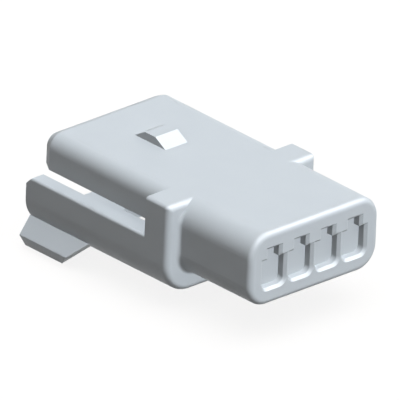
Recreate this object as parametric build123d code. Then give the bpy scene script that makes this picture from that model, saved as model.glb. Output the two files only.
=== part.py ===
from build123d import *
from math import sqrt
import os

# Four-way wire connector housing, injection moulded in one piece from a glass-filled plastic.
# X runs along the housing towards the wire entry face, Y runs across it and Z is up.
# The origin is the middle of the entry face. All sizes are in millimetres.
# The near side is -Y and the far side is +Y.

os.makedirs("parts", exist_ok=True)

# Ways, the row of contact positions
way_count = 4
way_pitch = 4.0
first_way_inset = 3.59       # side of the entry block to the middle of the first way

# Entry block, which the wires go into
block_length = 11.51
block_height = 8.77
block_corner_radius = 2.74   # the four long edges
block_front_radius = 0.68    # the edge round the entry face

# Collar, the finger grip and end stop
collar_thickness = 3.68
near_overhang = 1.75         # how far it stands out from the near side of the block
far_overhang = 1.13
collar_drop = 2.26           # how far it reaches below the block
collar_bottom_radius = 3.79
collar_top_radius = 0.35
collar_edge_radius = 0.69    # the edge round its front
collar_root_radius = 0.48    # inside corner between the block and the collar

# Tongue, which goes into the mating connector
tongue_length = 18.77
tongue_height = 4.14
tongue_inset = 0.44          # step in from the side of the block
tongue_top_radius = 1.72     # the two upper long edges
tongue_lead_in = 0.43        # taper round the free end, measured on the end face
tongue_lead_length = 0.92    # the same taper, along the tongue

# Contact chambers, one for each way, in the free end of the tongue
chamber_width = 2.3
chamber_height = 2.0
chamber_depth = 9.0
chamber_corner_radius = 0.3
chamber_lead_in = 0.3

# Latch ramp on top of the tongue
ramp_width = 3.3
ramp_height = 0.95
ramp_gap = 7.36              # back of the collar to the foot of the front slope
ramp_front_run = 1.68
ramp_top_run = 1.64
ramp_rear_run = 1.63

# Tray, the open half shroud under the tongue
tray_length = 19.05
tray_floor = 1.75
tray_lip_gap = 0.55          # underside of the tongue down to the lips
tray_lip_radius = 0.30       # outer edge of each lip
tray_end_chamfer = 0.83      # upper corner of the walls at the free end
tray_mouth_radius = 0.70     # inner edge of the free end
tray_inner_radius = 1.8

# Window through the tray floor, under the latch ramp
window_width = 4.3
window_margin = 0.90         # past each end of the ramp
window_corner_radius = 0.3

# Feet, two splayed wings at the free end of the tray
foot_tip_out = 0.71          # tip past the side of the tray
foot_tip_drop = 0.62         # tip below the bottom of the tray
foot_sole_in = 0.26          # inner edge of the sole, back from the side of the tray
foot_drop = 2.13             # sole below the bottom of the tray
foot_slope = 0.745           # sideways travel of a wing for each mm of height
foot_top = 1.39              # height of the wing's outer root above the bottom of the tray
foot_root = 0.34             # height of its inner root
foot_length = 5.94           # along the sole
foot_edge_radius = 0.15

# Entry openings, T-shaped recesses in the entry face
entry_depth = 1.12
entry_width = 3.25
entry_height = 3.41
entry_bottom = 2.03          # underside of the block up to the bottom of the opening
entry_slot_width = 1.75
entry_slot_height = 1.27
entry_corner_radius = 0.75
entry_lead_in = 0.31

overlap = 0.5                # how far joined forms run into each other
touch = 0.01                 # how close counts as touching when edges are picked

# Worked out from the sizes above
block_width = (way_count - 1) * way_pitch + 2 * first_way_inset
block_top = block_height / 2
block_bottom = -block_height / 2
near_side = -block_width / 2 - near_overhang
far_side = block_width / 2 + far_overhang
collar_front = -block_length
collar_back = collar_front - collar_thickness
collar_bottom = block_bottom - collar_drop
tongue_underside = block_top - tongue_height
tongue_end = collar_back - tongue_length
tray_lip = tongue_underside - tray_lip_gap
tray_end = collar_back - tray_length
ways = [(way - (way_count - 1) / 2) * way_pitch for way in range(way_count)]


def across(x):
    """The plane across the housing at x, with Y to the right and Z up."""
    return Plane(origin=(x, 0, 0), x_dir=(0, 1, 0), z_dir=(1, 0, 0))


def outline(left, right, low, high, low_radius, high_radius):
    """A rectangle between two sides and two heights, with its own radius below and above."""
    shape = Pos((left + right) / 2, (low + high) / 2) * Rectangle(right - left, high - low)
    if low_radius:
        shape = fillet(shape.vertices().group_by(Axis.Y)[0], low_radius)
    if high_radius:
        shape = fillet(shape.vertices().group_by(Axis.Y)[-1], high_radius)
    return shape


def meets(edge, x):
    """Whether an edge lies in the plane across the housing at x."""
    box = edge.bounding_box()
    return abs(box.min.X - x) < touch and abs(box.max.X - x) < touch


# Collar, with its front edge rounded all round, then its two upper long edges
collar = extrude(across(collar_back) * outline(near_side, far_side, collar_bottom, block_top,
                                               collar_bottom_radius, 0), collar_thickness)
collar = fillet(collar.faces().sort_by(Axis.X)[-1].edges(), collar_edge_radius)
top_edges = collar.edges().filter_by(Axis.X).filter_by_position(Axis.Z, block_top - touch, block_top + touch)
collar = fillet([top_edges.sort_by(Axis.Y)[end] for end in (0, -1)], collar_top_radius)

# Block, with a rounded front edge. The inside corner between it and the collar is made
# against a slab that stands out all round, and it is kept up to the height where the
# rounding of the collar's top begins. There it runs out at a slant.
block_outline = outline(-block_width / 2, block_width / 2, block_bottom, block_top,
                        block_corner_radius, block_corner_radius)
block = extrude(across(collar_back) * block_outline, -collar_back)
block = fillet(block.faces().sort_by(Axis.X)[-1].edges(), block_front_radius)
slab = extrude(across(collar_back) * Rectangle(2 * block_width, 4 * block_height), collar_thickness) + block
root = fillet([edge for edge in slab.edges() if meets(edge, collar_front)
               and abs(edge.center().Z) < block_height and abs(edge.center().Y) < block_width / 2 + touch],
              collar_root_radius)
root_top = block_top - collar_edge_radius
root_side = block_width / 2 - block_corner_radius + sqrt(
    block_corner_radius ** 2 - (block_corner_radius - collar_edge_radius) ** 2)
root_low = root_top - (block_width - root_side)
kept = Polyline((root_side, root_top), (block_width, root_low), (block_width, -block_height),
                (-block_width, -block_height), (-block_width, root_low), (-root_side, root_top), close=True)
root &= extrude(across(collar_front) * make_face(kept), collar_root_radius)
body = collar + block + root

# Entry openings, each with a lead-in round its mouth
opening_low = block_bottom + entry_bottom
shoulder = opening_low + entry_height
for y in ways:
    lower = Pos(y, opening_low + entry_height / 2) * Rectangle(entry_width, entry_height)
    lower = fillet(lower.vertices().group_by(Axis.Y)[0], entry_corner_radius)
    slot = Pos(y, shoulder + entry_slot_height / 2) * Rectangle(entry_slot_width, entry_slot_height)
    body -= extrude(across(-entry_depth) * (lower + slot), entry_depth + overlap)
face_edges = body.faces().sort_by(Axis.X)[-1].inner_wires()
body = chamfer([edge for wire in face_edges for edge in wire.edges()], entry_lead_in)

# Tongue, tapered round its free end, with the contact chambers in it
tongue_outline = outline(tongue_inset - block_width / 2, block_width / 2 - tongue_inset,
                         tongue_underside, block_top, 0, tongue_top_radius)
tongue = extrude(across(tongue_end) * tongue_outline, tongue_length + overlap)
free_end = tongue.faces().sort_by(Axis.X)[0]
tongue = chamfer(free_end.edges(), tongue_lead_in, tongue_lead_length, reference=free_end)
for y in ways:
    chamber = Pos(y, block_top - tongue_height / 2) * RectangleRounded(chamber_width, chamber_height,
                                                                       chamber_corner_radius)
    tongue -= extrude(across(tongue_end) * chamber, chamber_depth)
chamber_mouths = tongue.faces().filter_by(Axis.X).sort_by(Axis.X)[0].inner_wires()
tongue = chamfer([edge for wire in chamber_mouths for edge in wire.edges()], chamber_lead_in)

# Latch ramp
ramp_start = collar_back - ramp_gap
ramp_end = ramp_start - ramp_front_run - ramp_top_run - ramp_rear_run
ramp_side = Polyline((ramp_start, block_top - overlap), (ramp_start, block_top),
                     (ramp_start - ramp_front_run, block_top + ramp_height),
                     (ramp_end + ramp_rear_run, block_top + ramp_height),
                     (ramp_end, block_top), (ramp_end, block_top - overlap), close=True)
ramp = extrude(Plane.XZ * make_face(ramp_side), ramp_width / 2, both=True)

# Tray: the lower part of the collar's outline, hollowed out to the width of the block. The
# upper corners of its walls are cut off at the free end, and its mouth there is rounded.
shell = outline(near_side, far_side, collar_bottom, block_top, collar_bottom_radius, 0)
hollow = outline(-block_width / 2, block_width / 2, collar_bottom + tray_floor, block_top + overlap,
                 tray_inner_radius, 0)
above = Pos(0, tray_lip + block_height) * Rectangle(2 * block_width, 2 * block_height)
tray = extrude(across(tray_end) * (shell - hollow - above), tray_length + overlap)
lip_edges = tray.edges().filter_by(Axis.X).filter_by_position(Axis.Z, tray_lip - touch, tray_lip + touch)
tray = fillet([lip_edges.sort_by(Axis.Y)[end] for end in (0, -1)], tray_lip_radius)
mouth = [edge for edge in tray.edges() if meets(edge, tray_end)
         and abs(edge.center().Y) < block_width / 2 + touch
         and collar_bottom + touch < edge.center().Z < tray_lip - touch]
tray = fillet(mouth, tray_mouth_radius)
corner = Polyline((tray_end, tray_lip - tray_end_chamfer), (tray_end, tray_lip + tray_end_chamfer),
                  (tray_end + 2 * tray_end_chamfer, tray_lip + tray_end_chamfer), close=True)
tray -= extrude(Plane.XZ * make_face(corner), block_width, both=True)
window = Pos((ramp_start + ramp_end) / 2, 0, collar_bottom + tray_floor / 2) * Box(
    ramp_start - ramp_end + 2 * window_margin, window_width, 2 * tray_floor)
tray -= fillet(window.edges().filter_by(Axis.Z), window_corner_radius)

# Feet: the wing's section at each side of the tray, with its outer edge rounded, cut off at
# 45 degrees at its front end
wing = [(-foot_sole_in, -foot_drop), (foot_tip_out, -foot_tip_drop),
        (foot_tip_out - (foot_tip_drop + foot_top) * foot_slope, foot_top),
        (-foot_sole_in - (foot_drop + foot_root) * foot_slope, foot_root)]
foot_rise = foot_drop + foot_top
for side, out in ((near_side, -1), (far_side, 1)):
    section = make_face(Polyline(*[(side + out * y, collar_bottom + z) for y, z in wing], close=True))
    section = fillet(section.vertices().sort_by(Axis.X)[0 if out < 0 else -1], foot_edge_radius)
    foot = extrude(across(tray_end) * section, foot_length + foot_rise)
    sole_end = tray_end + foot_length
    sole = collar_bottom - foot_drop
    front = Polyline((sole_end, sole), (sole_end + 2 * foot_rise, sole + 2 * foot_rise),
                     (sole_end + 2 * foot_rise, sole), close=True)
    tray += foot - extrude(Plane.XZ * make_face(front), block_width, both=True)

housing = body + tongue + ramp + tray
export_step(housing, "parts/housing.step")
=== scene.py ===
import math

import bpy
from mathutils import Matrix, Vector


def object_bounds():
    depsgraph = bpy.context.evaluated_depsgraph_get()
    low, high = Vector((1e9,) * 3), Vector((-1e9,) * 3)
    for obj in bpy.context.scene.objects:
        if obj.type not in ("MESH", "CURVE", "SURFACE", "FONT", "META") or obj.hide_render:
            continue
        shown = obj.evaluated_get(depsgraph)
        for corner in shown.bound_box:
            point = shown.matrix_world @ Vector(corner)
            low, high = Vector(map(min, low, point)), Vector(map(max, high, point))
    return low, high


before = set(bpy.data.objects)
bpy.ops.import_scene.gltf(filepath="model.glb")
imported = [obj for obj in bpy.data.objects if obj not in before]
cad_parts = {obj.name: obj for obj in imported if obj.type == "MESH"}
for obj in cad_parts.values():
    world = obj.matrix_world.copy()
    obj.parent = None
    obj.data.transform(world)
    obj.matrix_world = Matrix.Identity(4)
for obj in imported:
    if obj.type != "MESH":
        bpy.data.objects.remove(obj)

cad_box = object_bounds()

# HOUSING
# The whole connector housing is one injection moulding in a pale blue-grey, glass-filled
# plastic. The mould gives its faces a very fine even grain, and the glass shows as faint
# flecks and small cloudy differences in the colour.
housing_grey = (0.613, 0.684, 0.75, 1.0)
housing_grey_cloud = (0.643, 0.714, 0.775, 1.0)
housing_grey_fleck = (0.555, 0.625, 0.685, 1.0)
housing_grey_bounce = (0.24, 0.24, 0.24, 1.0)
clouds_per_metre, cloud_detail = 260.0, 3.0
flecks_per_metre, fleck_detail = 9000.0, 1.0
fleck_start, fleck_full = 0.62, 0.78   # noise values where a fleck begins and is at its fullest
fleck_strength = 0.35
grain_per_metre, grain_detail = 5200.0, 2.0
grain_strength = 0.25
grain_depth = 0.000008                 # metres
plastic_ior = 1.5
plastic_gloss = 0.2
sheen_smooth, sheen_dull = 0.38, 0.48  # roughness

plastic = bpy.data.materials.new("moulded_blue_grey_plastic")
plastic.use_nodes = True
plastic_tree = plastic.node_tree
plastic_tree.nodes.clear()
surface = plastic_tree.nodes.new("ShaderNodeOutputMaterial")
moulding = plastic_tree.nodes.new("ShaderNodeBsdfPrincipled")
moulding.inputs["IOR"].default_value = plastic_ior
moulding.inputs["Specular IOR Level"].default_value = plastic_gloss
plastic_tree.links.new(moulding.outputs["BSDF"], surface.inputs["Surface"])
place = plastic_tree.nodes.new("ShaderNodeTexCoord")

# Cloudy difference of the melt, a few millimetres across
cloud = plastic_tree.nodes.new("ShaderNodeTexNoise")
cloud.inputs["Scale"].default_value = clouds_per_metre
cloud.inputs["Detail"].default_value = cloud_detail
plastic_tree.links.new(place.outputs["Object"], cloud.inputs["Vector"])
cloud_mix = plastic_tree.nodes.new("ShaderNodeMix")
cloud_mix.data_type = "RGBA"
cloud_mix.inputs["A"].default_value = housing_grey
cloud_mix.inputs["B"].default_value = housing_grey_cloud
plastic_tree.links.new(cloud.outputs["Fac"], cloud_mix.inputs["Factor"])

# Glass flecks, about a tenth of a millimetre
fleck = plastic_tree.nodes.new("ShaderNodeTexNoise")
fleck.inputs["Scale"].default_value = flecks_per_metre
fleck.inputs["Detail"].default_value = fleck_detail
plastic_tree.links.new(place.outputs["Object"], fleck.inputs["Vector"])
fleck_mask = plastic_tree.nodes.new("ShaderNodeMapRange")
fleck_mask.inputs["From Min"].default_value = fleck_start
fleck_mask.inputs["From Max"].default_value = fleck_full
fleck_mask.inputs["To Max"].default_value = fleck_strength
plastic_tree.links.new(fleck.outputs["Fac"], fleck_mask.inputs["Value"])
fleck_mix = plastic_tree.nodes.new("ShaderNodeMix")
fleck_mix.data_type = "RGBA"
fleck_mix.inputs["B"].default_value = housing_grey_fleck
plastic_tree.links.new(fleck_mask.outputs["Result"], fleck_mix.inputs["Factor"])
plastic_tree.links.new(cloud_mix.outputs["Result"], fleck_mix.inputs["A"])

# Less of the light that goes from one face of the moulding to another, so that the openings
# and the inside of the tray don't come out too light
ray = plastic_tree.nodes.new("ShaderNodeLightPath")
bounce_mix = plastic_tree.nodes.new("ShaderNodeMix")
bounce_mix.data_type = "RGBA"
bounce_mix.inputs["B"].default_value = housing_grey_bounce
plastic_tree.links.new(ray.outputs["Is Diffuse Ray"], bounce_mix.inputs["Factor"])
plastic_tree.links.new(fleck_mix.outputs["Result"], bounce_mix.inputs["A"])
plastic_tree.links.new(bounce_mix.outputs["Result"], moulding.inputs["Base Color"])

# Sheen of the moulded face, a little uneven
sheen = plastic_tree.nodes.new("ShaderNodeMapRange")
sheen.inputs["To Min"].default_value = sheen_smooth
sheen.inputs["To Max"].default_value = sheen_dull
plastic_tree.links.new(cloud.outputs["Fac"], sheen.inputs["Value"])
plastic_tree.links.new(sheen.outputs["Result"], moulding.inputs["Roughness"])

# Fine grain of the mould's surface, about a fifth of a millimetre
grain = plastic_tree.nodes.new("ShaderNodeTexNoise")
grain.inputs["Scale"].default_value = grain_per_metre
grain.inputs["Detail"].default_value = grain_detail
plastic_tree.links.new(place.outputs["Object"], grain.inputs["Vector"])
relief = plastic_tree.nodes.new("ShaderNodeBump")
relief.inputs["Strength"].default_value = grain_strength
relief.inputs["Distance"].default_value = grain_depth
plastic_tree.links.new(grain.outputs["Fac"], relief.inputs["Height"])
plastic_tree.links.new(relief.outputs["Normal"], moulding.inputs["Normal"])

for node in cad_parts.values():
    node.data.materials.clear()
    node.data.materials.append(plastic)

# FLOOR AND BACKDROP
# A level white bench top under the feet, and the same white all round. The camera, gloss
# and glass see it white, with the soft shadow under the housing, while it sends only a little
# light back onto the moulding. Seen from below, the bench is clear.
white = (1.0, 1.0, 1.0, 1.0)
bench_size = 4.0                            # metres
bench_matt_grey = (0.105, 0.1, 0.095, 1.0)  # what the moulding gets back from the bench
bench_paint = (0.4, 0.4, 0.4, 1.0)          # the part of the seen white that takes the shadow
bench_glow_strength = 0.57                  # the rest of the seen white
room_tint = (1.0, 0.93, 0.875, 1.0)
room_strength = 0.24


def seen_part(tree):
    """A socket that is 1 for what the camera, gloss and glass see, and 0 for other light."""
    path = tree.nodes.new("ShaderNodeLightPath")
    eye_or_gloss = tree.nodes.new("ShaderNodeMath")
    eye_or_gloss.operation = "MAXIMUM"
    tree.links.new(path.outputs["Is Camera Ray"], eye_or_gloss.inputs[0])
    tree.links.new(path.outputs["Is Glossy Ray"], eye_or_gloss.inputs[1])
    seen = tree.nodes.new("ShaderNodeMath")
    seen.operation = "MAXIMUM"
    tree.links.new(eye_or_gloss.outputs["Value"], seen.inputs[0])
    tree.links.new(path.outputs["Is Transmission Ray"], seen.inputs[1])
    return seen.outputs["Value"]


def mix_shaders(tree, share, first, second):
    """A mix of two shaders, the second one where share is 1."""
    mix = tree.nodes.new("ShaderNodeMixShader")
    tree.links.new(share, mix.inputs[0])
    tree.links.new(first, mix.inputs[1])
    tree.links.new(second, mix.inputs[2])
    return mix.outputs["Shader"]


bpy.ops.mesh.primitive_plane_add(size=bench_size, location=(0.0, 0.0, cad_box[0][2]))
bench = bpy.context.object
bench.name = "bench_top"
bench_white = bpy.data.materials.new("white_bench")
bench_white.use_nodes = True
bench_tree = bench_white.node_tree
bench_tree.nodes.clear()
bench_surface = bench_tree.nodes.new("ShaderNodeOutputMaterial")
bench_matt = bench_tree.nodes.new("ShaderNodeBsdfDiffuse")
bench_matt.inputs["Color"].default_value = bench_matt_grey
bench_painted = bench_tree.nodes.new("ShaderNodeBsdfDiffuse")
bench_painted.inputs["Color"].default_value = bench_paint
bench_glow = bench_tree.nodes.new("ShaderNodeEmission")
bench_glow.inputs["Strength"].default_value = bench_glow_strength
bench_seen = bench_tree.nodes.new("ShaderNodeAddShader")
bench_tree.links.new(bench_painted.outputs["BSDF"], bench_seen.inputs[0])
bench_tree.links.new(bench_glow.outputs["Emission"], bench_seen.inputs[1])
bench_top_side = mix_shaders(bench_tree, seen_part(bench_tree), bench_matt.outputs["BSDF"],
                             bench_seen.outputs["Shader"])
bench_side = bench_tree.nodes.new("ShaderNodeNewGeometry")
bench_clear = bench_tree.nodes.new("ShaderNodeBsdfTransparent")
bench_clear.inputs["Color"].default_value = white
bench_both_sides = mix_shaders(bench_tree, bench_side.outputs["Backfacing"], bench_top_side,
                               bench_clear.outputs["BSDF"])
bench_tree.links.new(bench_both_sides, bench_surface.inputs["Surface"])
bench.data.materials.append(bench_white)

world = bpy.data.worlds.new("white_room")
world.use_nodes = True
bpy.context.scene.world = world
room_tree = world.node_tree
room_tree.nodes.clear()
room_surface = room_tree.nodes.new("ShaderNodeOutputWorld")
room_dim = room_tree.nodes.new("ShaderNodeBackground")
room_dim.inputs["Color"].default_value = room_tint
room_dim.inputs["Strength"].default_value = room_strength
room_white = room_tree.nodes.new("ShaderNodeBackground")
room_white.inputs["Color"].default_value = white
room_white.inputs["Strength"].default_value = 1.0
room_light = mix_shaders(room_tree, seen_part(room_tree), room_dim.outputs["Background"],
                         room_white.outputs["Background"])
room_tree.links.new(room_light, room_surface.inputs["Surface"])

# LIGHT
# One broad, even key lamp from above and in front of the entry face. It throws no shadow, so
# the inside of the tray keeps its light under the tongue.
key_from = (0.6, 0.015, 0.8)
key_strength = 2.86
key_spread = 18.0      # degrees
shine_spread = 30.0
overhead_strength = 0.6
overhead_spread = 70.0


def broad_lamp(name, strength, spread, shines_from):
    """A far lamp that shines from the given direction, its face so many degrees across."""
    light = bpy.data.lights.new(name, "SUN")
    light.energy = strength
    light.angle = math.radians(spread)
    lamp = bpy.data.objects.new(name, light)
    lamp.rotation_euler = Vector(shines_from).to_track_quat("Z", "Y").to_euler()
    bpy.context.scene.collection.objects.link(lamp)
    return lamp


key_lamp = broad_lamp("key", key_strength, key_spread, key_from)
key_lamp.data.use_shadow = False

# Two soft panels that show only as the shine on rounded edges and on slopes: one behind the
# housing, and one above the entry end
for shine_name, shine_strength, shine_from in (("shine_far", 9.0, (0.3, 0.6, 0.74)),
                                               ("shine_entry", 10.0, (0.52, -0.15, 0.84))):
    shine_lamp = broad_lamp(shine_name, shine_strength, shine_spread, shine_from)
    shine_lamp.visible_diffuse = False

# An overhead panel that lights the bench top alone, so that the housing's soft shadow shows
# under it
bench_only = bpy.data.collections.new("bench_only")
bench_only.objects.link(bench)
overhead_lamp = broad_lamp("overhead", overhead_strength, overhead_spread, (0.0, 0.0, 1.0))
overhead_lamp.light_linking.receiver_collection = bench_only

# CAMERA
# A parallel view onto the near side, the top and the entry face, a little rolled.
look_at = Vector((-0.01753, -0.00089, 0.0))
towards_camera = Vector((0.6505, -0.6243, 0.4324)).normalized()
picture_right = Vector((0.6782, 0.7338, 0.0393)).normalized()
picture_width = 0.04384   # metres
camera_distance = 0.2
camera_near, camera_far = 0.001, 5.0

# The three directions, squared to each other
picture_up = towards_camera.cross(picture_right).normalized()
picture_right = picture_up.cross(towards_camera).normalized()
camera_turn = Matrix((picture_right, picture_up, towards_camera)).transposed().to_4x4()

camera = bpy.data.cameras.new("camera")
camera.type = "ORTHO"
camera.ortho_scale = picture_width
camera.clip_start = camera_near
camera.clip_end = camera_far
camera_object = bpy.data.objects.new("camera", camera)
camera_object.matrix_world = Matrix.Translation(look_at + towards_camera * camera_distance) @ camera_turn
bpy.context.scene.collection.objects.link(camera_object)
bpy.context.scene.camera = camera_object

bpy.context.scene.view_settings.view_transform = "Standard"
